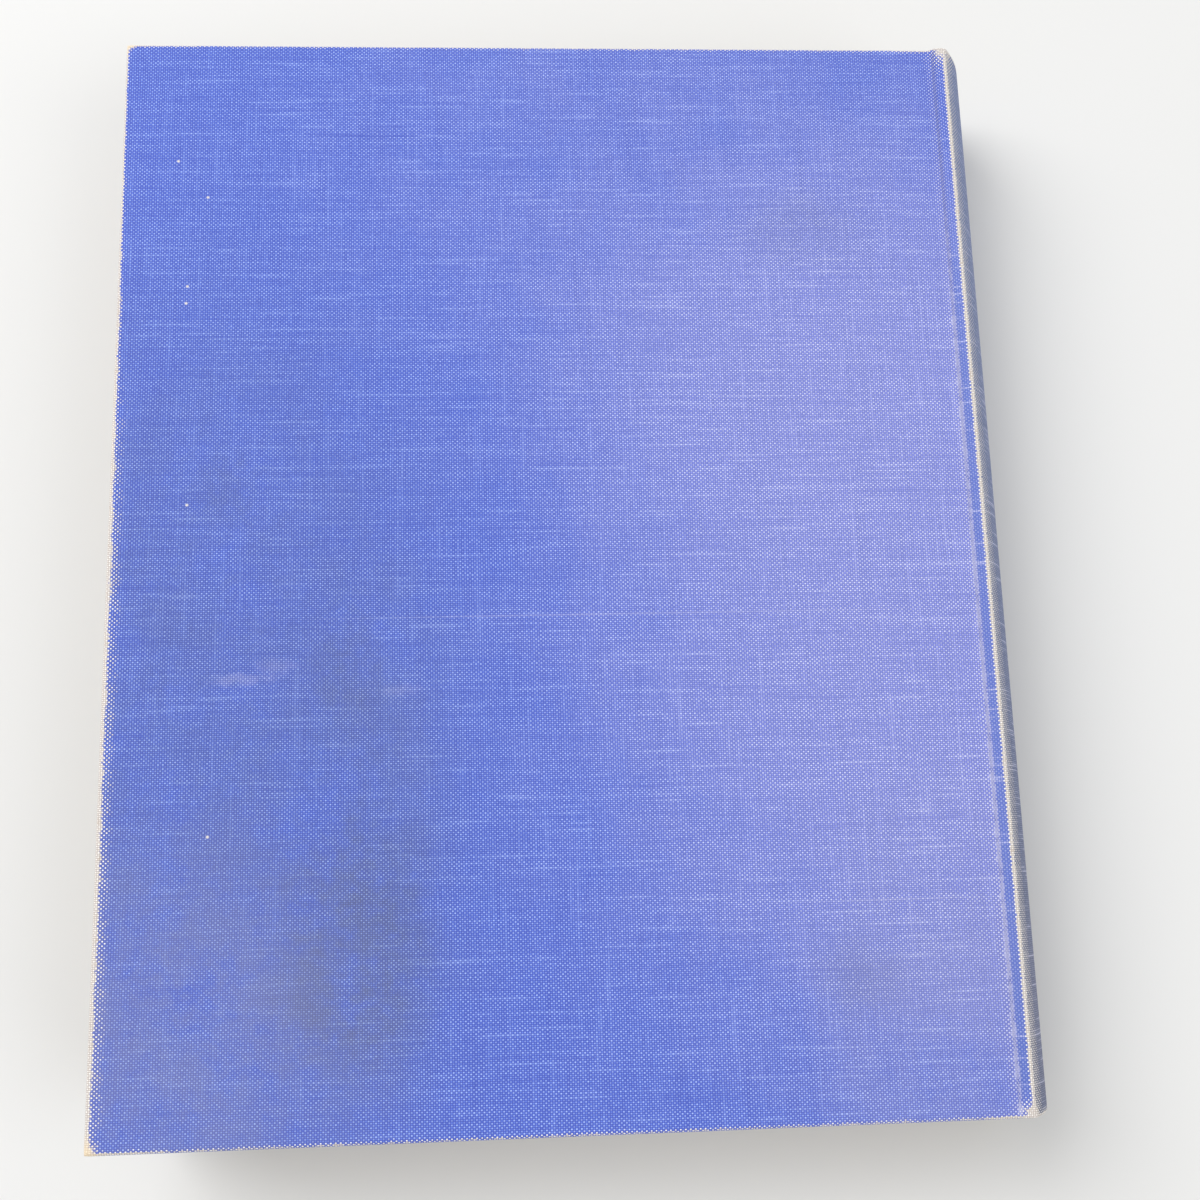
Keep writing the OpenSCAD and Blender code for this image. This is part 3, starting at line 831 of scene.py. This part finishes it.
# Colours of the cloth, linear: the gaps between threads, warp knuckles and weft knuckles
BLUE = ((0.060, 0.095, 0.492, 1), (0.130, 0.217, 0.750, 1), (0.385, 0.520, 0.990, 1))
# Next the paler blue of the patch towards the spine: painted sheen of reflected light, partly sun
# fading
SHEEN_AND_FADE = ((0.160, 0.190, 0.550, 1), (0.285, 0.318, 0.850, 1), (0.710, 0.740, 1.000, 1))
SLATE = ((0.030, 0.042, 0.100, 1), (0.168, 0.198, 0.332, 1), (0.400, 0.440, 0.600, 1))
PALE_SPINE = ((0.075, 0.110, 0.250, 1), (0.240, 0.310, 0.560, 1), (0.500, 0.570, 0.820, 1))
# Bared cotton, set near white so that rubbed edges read bright: partly painted highlight
COTTON_AND_HIGHLIGHT = ((0.520, 0.460, 0.430, 1), (0.800, 0.750, 0.700, 1), (0.980, 0.960, 0.920, 1))

# Colours laid over the cloth
FRAYED = (0.920, 0.720, 0.440, 1)
# Pale tone of rubbed cloth along the joint, partly painted light there, and of single pale threads
PALE_JOINT = (0.740, 0.740, 0.960, 1)
# Darker blue in the groove: painted shade, partly cloth kept from fading
GROOVE_SHADE_AND_UNFADED = (0.075, 0.150, 0.500, 1)
GRIME = (0.110, 0.125, 0.190, 1)
DUST = (0.350, 0.340, 0.450, 1)
CHALK = (0.550, 0.560, 0.780, 1)
TAN = (0.420, 0.300, 0.190, 1)
RUBBED_SPINE = (0.760, 0.720, 0.700, 1)

# Small marks on the rear cover: centre and half size in millimetres from the fore-edge and the
# tail, then strength. A streak of negative strength is dark.
CHALK_SPOTS = [
    ((31, 101), (8, 1.4), 0.33), ((38, 104), (5, 1.8), 0.25), ((66, 98), (5, 1.4), 0.20)
]
STREAKS = [
    ((60, 235.4), (16, 0.30), -0.6), ((120, 114.6), (70, 0.25), 0.2), ((176, 48.0), (22, 0.25), 0.2)
]
SPECKS = [
    (13.5, 228.5), (20.8, 219.0), (16.5, 196.0), (16.3, 191.7), (17.8, 142.0), (24.3, 66.0)
]
SPECK_HALF = (0.40, 0.36)

# Wear by its mark: how ragged it is, how much it follows the threads, and its threshold
# The joint's pale wear is partly painted light on the board's edge as it turns into the groove
JOINT_WEAR_AND_LIGHT = ("joint_rub_and_light", 1.0, 0.9, 0.66)
STRIP_WEAR = ("strip_rub", 1.2, 1.0, 0.54)
BARE_WEAR = [
    ("fore_rub", 1.0, 0.45, 0.48), ("end_rub", 1.2, 0.8, 0.80), ("corner_rub", 0.6, 0.1, 0.42),
    ("cap_rub", 1.0, 0.5, 0.50), ("ridge_rub", 0.9, 0.6, 0.48)
]


def sound_cloth(graph, weave, patchy):
    """Colour of the unworn weave: three tones that turn paler towards the joint, a painted sheen of
    reflected light and partly sun fading, and turn slate on the spine, each thread lighter or
    darker than the next, some of them pale for a stretch."""
    spine = graph.mark("spine")
    # Paler towards the joint: painted sheen of reflected light, partly sun fading
    sheen_and_fade = graph.mark("sheen_and_fade")
    sheen_and_fade = sheen_and_fade * graph.step(sheen_and_fade + (patchy - 0.5) * 0.9, -0.1, 0.8)
    to_head = graph.mark("head_end")
    tones = []
    for blue, pale, slate, pale_slate in zip(BLUE, SHEEN_AND_FADE, SLATE, PALE_SPINE):
        back = graph.layers(slate, (to_head, pale_slate))
        tones.append(graph.layers(blue, (sheen_and_fade, pale), (spine, back)))
    warp = weave["Warp knuckle"] * (weave["Warp tone"] * 2.0 - 0.15)
    weft = weave["Weft knuckle"] * (weave["Weft tone"] * 1.65 - 0.04)
    layers = [(warp * (weave["Chance"] * 0.5 + 0.75), tones[1]),
              (weft * (weave["Chance"] * 0.55 + 0.68), tones[2])]
    for tone, strength in (("Weft tone", 0.16), ("Warp tone", 0.09)):
        pale_stretch = graph.step(weave[tone], 0.58, 0.72)
        layers.append((pale_stretch * (1.0 - spine * 0.9) * strength, tones[2]))
    return graph.layers(tones[0], *layers)


def soiled_cloth(graph, place, weave, patchy, coarse, colour):
    """Colour with its soft marks: grime that settles between the threads, dust, scuffs that
    catch on the threads, streaks and specks."""
    def spot(centre, half, uneven=0.0):
        return graph.group(SPOT, {
            "Vector": place, "Centre": (*centre, 0), "Half size": (*half, 1), "Noise": coarse,
            "Uneven": uneven
        })["Spot"]

    mottle = patchy + coarse * 0.5
    grime = graph.mark("grime") * graph.step(mottle, 0.30, 1.05)
    dust = graph.mark("dust") * graph.step(mottle, 0.35, 0.90)
    layers = [(grime * (1.5 - weave["Height"] * 0.8), GRIME), (dust, DUST)]
    on_threads = weave["Height"] * 0.9 + 0.1
    for centre, half, strength in CHALK_SPOTS:
        layers.append((spot(centre, half, 2.6) * on_threads * strength, CHALK))
    for centre, half, strength in STREAKS:
        tone = CHALK if strength > 0 else BLUE[0]
        layers.append((spot(centre, half, 1.2) * abs(strength), tone))
    layers += [(spot(centre, SPECK_HALF), COTTON_AND_HIGHLIGHT[1]) for centre in SPECKS]
    return graph.layers(colour, *layers)


def worn_cloth(graph, weave, coarse, fine, colour):
    """Colour with its wear, and how bare the cloth is: pale along the joint, partly painted light
    on the board's edge, darker in the groove as painted shade, partly cloth kept from fading, with
    single pale threads across the groove, rubbed beside the ridge, and down to the cotton on the
    edges, set near white as partly painted highlight."""
    broken = (fine - 0.5) * 0.7 + (coarse - 0.5)
    thread = weave["Weft knuckle"] + weave["Weft tone"] * 0.5

    def worn(mark, ragged, by_thread, threshold):
        return graph.group(WEAR, {
            "Exposure": graph.mark(mark), "Broken": broken, "Ragged": ragged, "Thread": thread,
            "By thread": by_thread, "Threshold": threshold
        })["Worn"]

    groove = graph.mark("groove")
    height = weave["Height"]
    lone = graph.step(weave["Weft tone"], 0.56, 0.66) * groove * graph.step(height, 0.1, 0.6)
    knuckles = graph.step(height, 0.25, 0.75) * (1.0 - graph.mark("head_end") * 0.4)
    bare = graph.furthest("MAXIMUM", [worn(*wear) for wear in BARE_WEAR])
    # The bared cotton is partly painted highlight on the rubbed edges
    cotton = graph.layers(
        COTTON_AND_HIGHLIGHT[0], (weave["Warp knuckle"], COTTON_AND_HIGHLIGHT[1]),
        (weave["Weft knuckle"] * (weave["Chance"] * 0.5 + 0.75), COTTON_AND_HIGHLIGHT[2]),
        (graph.step(coarse, 0.55, 0.80) * 0.45, TAN), (graph.mark("corner_rub") * 0.8, FRAYED)
    )
    colour = graph.layers(
        colour, (worn(*JOINT_WEAR_AND_LIGHT) * 0.48, PALE_JOINT),
        (groove * (0.55 - graph.mark("spine") * 0.55), GROOVE_SHADE_AND_UNFADED), (lone * 0.5, PALE_JOINT),
        (worn(*STRIP_WEAR) * knuckles, RUBBED_SPINE), (bare, cotton)
    )
    return colour, bare


def book_cloth(name, marked):
    """Blue book cloth, worn along its edges and its ridge, and marked on the rear cover. The UV
    map counts millimetres along the cloth."""
    graph = new_material(name)
    place = graph.value("ShaderNodeUVMap", uv_map="Cloth")
    weave = graph.group(WEAVE, {"Vector": place})
    patchy = graph.noise(graph.stretch(place, (0.05, 0.05, 1)), 1.0, 3.0, 0.6)
    coarse = graph.noise(graph.stretch(place, (0.35, 0.35, 1)), 1.0, 3.0, 0.6)
    fine = graph.noise(graph.stretch(place, (2.2, 2.2, 1), (3, 9, 0)), detail=1.0)
    colour = sound_cloth(graph, weave, patchy)
    if marked:
        colour = soiled_cloth(graph, place, weave, patchy, coarse, colour)
    colour, bare = worn_cloth(graph, weave, coarse, fine, colour)
    roughness = bare * 0.15 + 0.72
    return finished(graph, colour, roughness, weave["Height"], 0.00007, gloss=0.25, sheen=0.12)


# Colours of the paper, the cotton and the boards, linear, and how many flecks a metre has
END_PAPER = ((0.80, 0.74, 0.60, 1), (0.76, 0.69, 0.54, 1))
PAPER_FIBRE = (0.62, 0.55, 0.42, 1)
TONED_PAPER = (0.55, 0.42, 0.26, 1)
FOX_MARK = (0.45, 0.30, 0.16, 1)
PAGE_EDGE = ((0.72, 0.63, 0.46, 1), (0.58, 0.48, 0.33, 1))
BROWN_GATHER = (0.50, 0.40, 0.26, 1)
EDGE_STREAK = (0.42, 0.33, 0.22, 1)
EDGE_STAIN = (0.47, 0.38, 0.26, 1)
SLIT_SHADE = (0.28, 0.21, 0.13, 1)
OPEN_COTTON = ((0.36, 0.29, 0.19, 1), (0.74, 0.68, 0.54, 1))
WOUND_COTTON = ((0.74, 0.66, 0.50, 1), (0.34, 0.27, 0.18, 1))
THREAD_DUST = (0.40, 0.33, 0.24, 1)
GREY_BOARD = ((0.42, 0.38, 0.30, 1), (0.20, 0.17, 0.13, 1), 700.0)
BROWN_PAPER = ((0.42, 0.27, 0.14, 1), (0.25, 0.15, 0.07, 1), 1500.0)
MANILA_CARD = ((0.46, 0.37, 0.23, 1), (0.30, 0.23, 0.14, 1), 1200.0)
PALE_FLOOR = (0.80, 0.80, 0.79, 1)
WHITE = (1, 1, 1, 1)


def end_paper(name, node):
    """Uncoated off-white endpaper: fibres, faint clouding and brown toning along its edges."""
    graph = new_material(name)
    place = graph.place()
    low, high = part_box(node)
    sheet = {"Vector": place, "Low": low, "High": high, "Depth": 0.016}
    cloud = graph.noise(place, 25.0, 5.0, 0.6)
    fibre = graph.noise(graph.stretch(place, (1, 0.25, 1)), 2600.0, 3.0, 0.7)
    spots = graph.step(graph.noise(place, 190.0), 0.74, 0.80)
    colour = graph.layers(
        END_PAPER[0], (graph.step(cloud, 0.3, 0.7), END_PAPER[1]), (fibre * 0.15, PAPER_FIBRE),
        (graph.group(EDGE_TONE, sheet)["Tone"] * 0.6, TONED_PAPER), (spots * 0.35, FOX_MARK)
    )
    return finished(graph, colour, 0.88, fibre, 0.00004, gloss=0.2)


def page_edges():
    """Cut edges of the leaves: a tone for each leaf, browner by gathers, dust and faint stains."""
    graph = new_material("page edges")
    place = graph.place()
    leaf = graph.mark("leaf")
    tone = graph.chance(graph.math("FLOOR", leaf))
    gather_tone = graph.chance(graph.math("FLOOR", leaf / GATHER))
    streak = graph.noise(graph.stretch(place, (30, 30, 4000)), 1.0, 3.0, 0.6)
    cloud = graph.noise(place, 35.0, 4.0, 0.6)
    slit = graph.step(graph.math("PINGPONG", leaf, 0.5), 0.16, 0.02)
    colour = graph.layers(
        PAGE_EDGE[0], (tone * 0.55, PAGE_EDGE[1]), (gather_tone * 0.25, BROWN_GATHER),
        (graph.step(streak, 0.5, 0.8) * 0.3, EDGE_STREAK),
        (graph.step(cloud, 0.45, 0.75) * 0.35, EDGE_STAIN), (slit, SLIT_SHADE)
    )
    return finished(graph, colour, 0.9, streak, 0.00003, gloss=0.15)


def open_cotton():
    """Starched open cotton: a wide plain weave with dark gaps."""
    graph = new_material("open cotton")
    place = graph.stretch(graph.place(), (1000, 1000, 1000))
    wide = {"Vector": place, "Warp pitch": 1.1, "Weft pitch": 1.1, "Wander": 1.0}
    weave = graph.group(WEAVE, wide)
    tone = graph.step(weave["Height"], 0.2, 0.6) + weave["Weft tone"] * 0.15
    colour = graph.layers(OPEN_COTTON[0], (tone, OPEN_COTTON[1]))
    return finished(graph, colour, 0.9, weave["Height"], 0.00015)


def pressed_fibre(name, light, dark, grain):
    """Board, card or brown paper: flecked fibres of two tones, with grain flecks to the metre."""
    graph = new_material(name)
    place = graph.place()
    fleck = graph.noise(place, grain, 4.0, 0.7)
    share = graph.step(fleck, 0.35, 0.7) * 0.7 + graph.noise(place, 40.0, 3.0) * 0.3
    return finished(graph, graph.layers(light, (share, dark)), 0.92, fleck, 0.00008)


def wound_cotton():
    """Undyed cotton thread, darker between its turns, and dusty."""
    graph = new_material("wound cotton")
    place = graph.place()
    gap = graph.step(graph.math("PINGPONG", graph.mark("thread"), 0.5), 0.12, 0.0)
    fibre = graph.noise(place, 5200.0, 2.0, 0.6)
    dust = graph.step(graph.noise(place, 300.0, 3.0), 0.45, 0.8)
    colour = graph.layers(WOUND_COTTON[0], (gap, WOUND_COTTON[1]), (dust * 0.4, THREAD_DUST))
    return finished(graph, colour, 0.9, fibre, 0.00005, sheen=0.2)


def give(node, material):
    """Puts a material on a piece of the frame in place of its plain one."""
    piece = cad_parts[node]
    piece.data.materials.clear()
    piece.data.materials.append(material)


def bend_at_joint(piece, side):
    """Bakes the place of a piece of the rear half, side 1, or of the front half, side -1, into its
    mesh.
    """
    bend_block = placed([HINGE_X + BEND_HALF, 0, 0])
    bend_cover = placed([HINGE_X - BEND_HALF, 0, 0])
    if side > 0:
        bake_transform(piece)
    else:
        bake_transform(piece)


def place_camera():
    """Camera of the photograph: where it stood, where it looked and its focal length, as fitted
    to the four edges of the cover in a square picture 1200 pixels wide."""
    stand = Vector((-15.50, -81.86, 369.09)) * MM
    look = Vector((0.06433, 0.20364, -0.97693)).normalized()
    up = Vector((0.01726, 0.97858, 0.20513)).normalized()
    focal_px, frame_px = 1471.0, 1200.0
    data = bpy.data.cameras.new("camera")
    data.sensor_width = 36.0
    data.lens = data.sensor_width * focal_px / frame_px
    data.clip_start = 0.01
    camera = bpy.data.objects.new("camera", data)
    bpy.context.scene.collection.objects.link(camera)
    axes = Matrix((look.cross(up), up, -look)).transposed().to_4x4()
    camera.matrix_world = Matrix.Translation(stand) @ axes
    bpy.context.scene.camera = camera


def place_floor():
    """Plain pale floor, wide enough for low views."""
    half = 3000.0
    low_z = -FACE_Z - 0.02
    sides = ((-half, -half), (half, -half), (half, half), (-half, half))
    floor = new_mesh("floor", [(x, y, low_z) for x, y in sides], [(0, 1, 2, 3)])
    floor.data.materials.append(finished(new_material("pale floor"), PALE_FLOOR, 0.9))


def place_light():
    """Soft even world and two large soft lamps; the camera and mirrors see the world as white."""
    world = bpy.data.worlds.new("soft studio")
    bpy.context.scene.world = world
    world.use_nodes = True
    graph = Graph(world.node_tree)
    graph.tree.nodes.clear()
    path = graph.add("ShaderNodeLightPath").outputs
    rays = ("Is Camera Ray", "Is Glossy Ray", "Is Transmission Ray")
    seen = graph.furthest("MAXIMUM", [Value(graph, path[ray]) for ray in rays])
    plain = graph.value("ShaderNodeBackground", {"Color": WHITE, "Strength": 0.55})
    white = graph.value("ShaderNodeBackground", {"Color": WHITE, "Strength": 1.0})
    mixed = graph.value("ShaderNodeMixShader", {0: seen, 1: plain, 2: white})
    graph.add("ShaderNodeOutputWorld", {"Surface": mixed})
    for name, at, size, watts in (("window", (-1.0, 0.7, 1.3), 1.2, 22.0),
                                  ("fill", (1.1, -0.6, 1.2), 1.4, 8.0)):
        data = bpy.data.lights.new(name, "AREA")
        data.size = size
        data.energy = watts
        lamp = bpy.data.objects.new(name, data)
        lamp.location = at
        lamp.rotation_euler = (-Vector(at)).to_track_quat("-Z", "Y").to_euler()
        bpy.context.scene.collection.objects.link(lamp)


# The cloth of the case, one sheet for each half
for half, side in (("rear", 1), ("front", -1)):
    cloth = case_cloth(f"{half}_case_cloth", side)
    cloth.data.materials.append(book_cloth(f"{half} book cloth", side > 0))
    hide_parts(f"{half}_cover_cloth", "spine_cloth")
    bend_at_joint(cloth, side)

# The pages and their bands
leaves = text_leaves("leaves")
leaves.data.materials.append(page_edges())
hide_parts("text_block")
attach(leaves, "book_block")
cotton = wound_cotton()
for end in ("head", "tail"):
    band = worked_band(f"{end}_band_threads", end == "head")
    band.data.materials.append(cotton)
    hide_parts(f"{end}_band")
    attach(band, "book_block")

# Endpapers, with the strip of each that bends at the joint
for half, side in (("rear", 1), ("front", -1)):
    paper = end_paper(f"{half} endpaper", f"{half}_flyleaf")
    give(f"{half}_flyleaf", paper)
    give(f"{half}_pastedown", paper)
    hinge = paper_hinge(f"{half}_paper_hinge", side)
    hinge.data.materials.append(paper)
    bend_at_joint(hinge, side)

# What the case and the spine hold
open_weave = open_cotton()
grey_board = pressed_fibre("grey board", *GREY_BOARD)
for node in ("spine_mull", "rear_mull_flange", "front_mull_flange"):
    give(node, open_weave)
for node in ("rear_board", "front_board"):
    give(node, grey_board)
give("spine_lining", pressed_fibre("brown paper", *BROWN_PAPER))
give("spine_inlay", pressed_fibre("manila card", *MANILA_CARD))

place_camera()
place_floor()
place_light()

bpy.context.scene.view_settings.view_transform = "Standard"
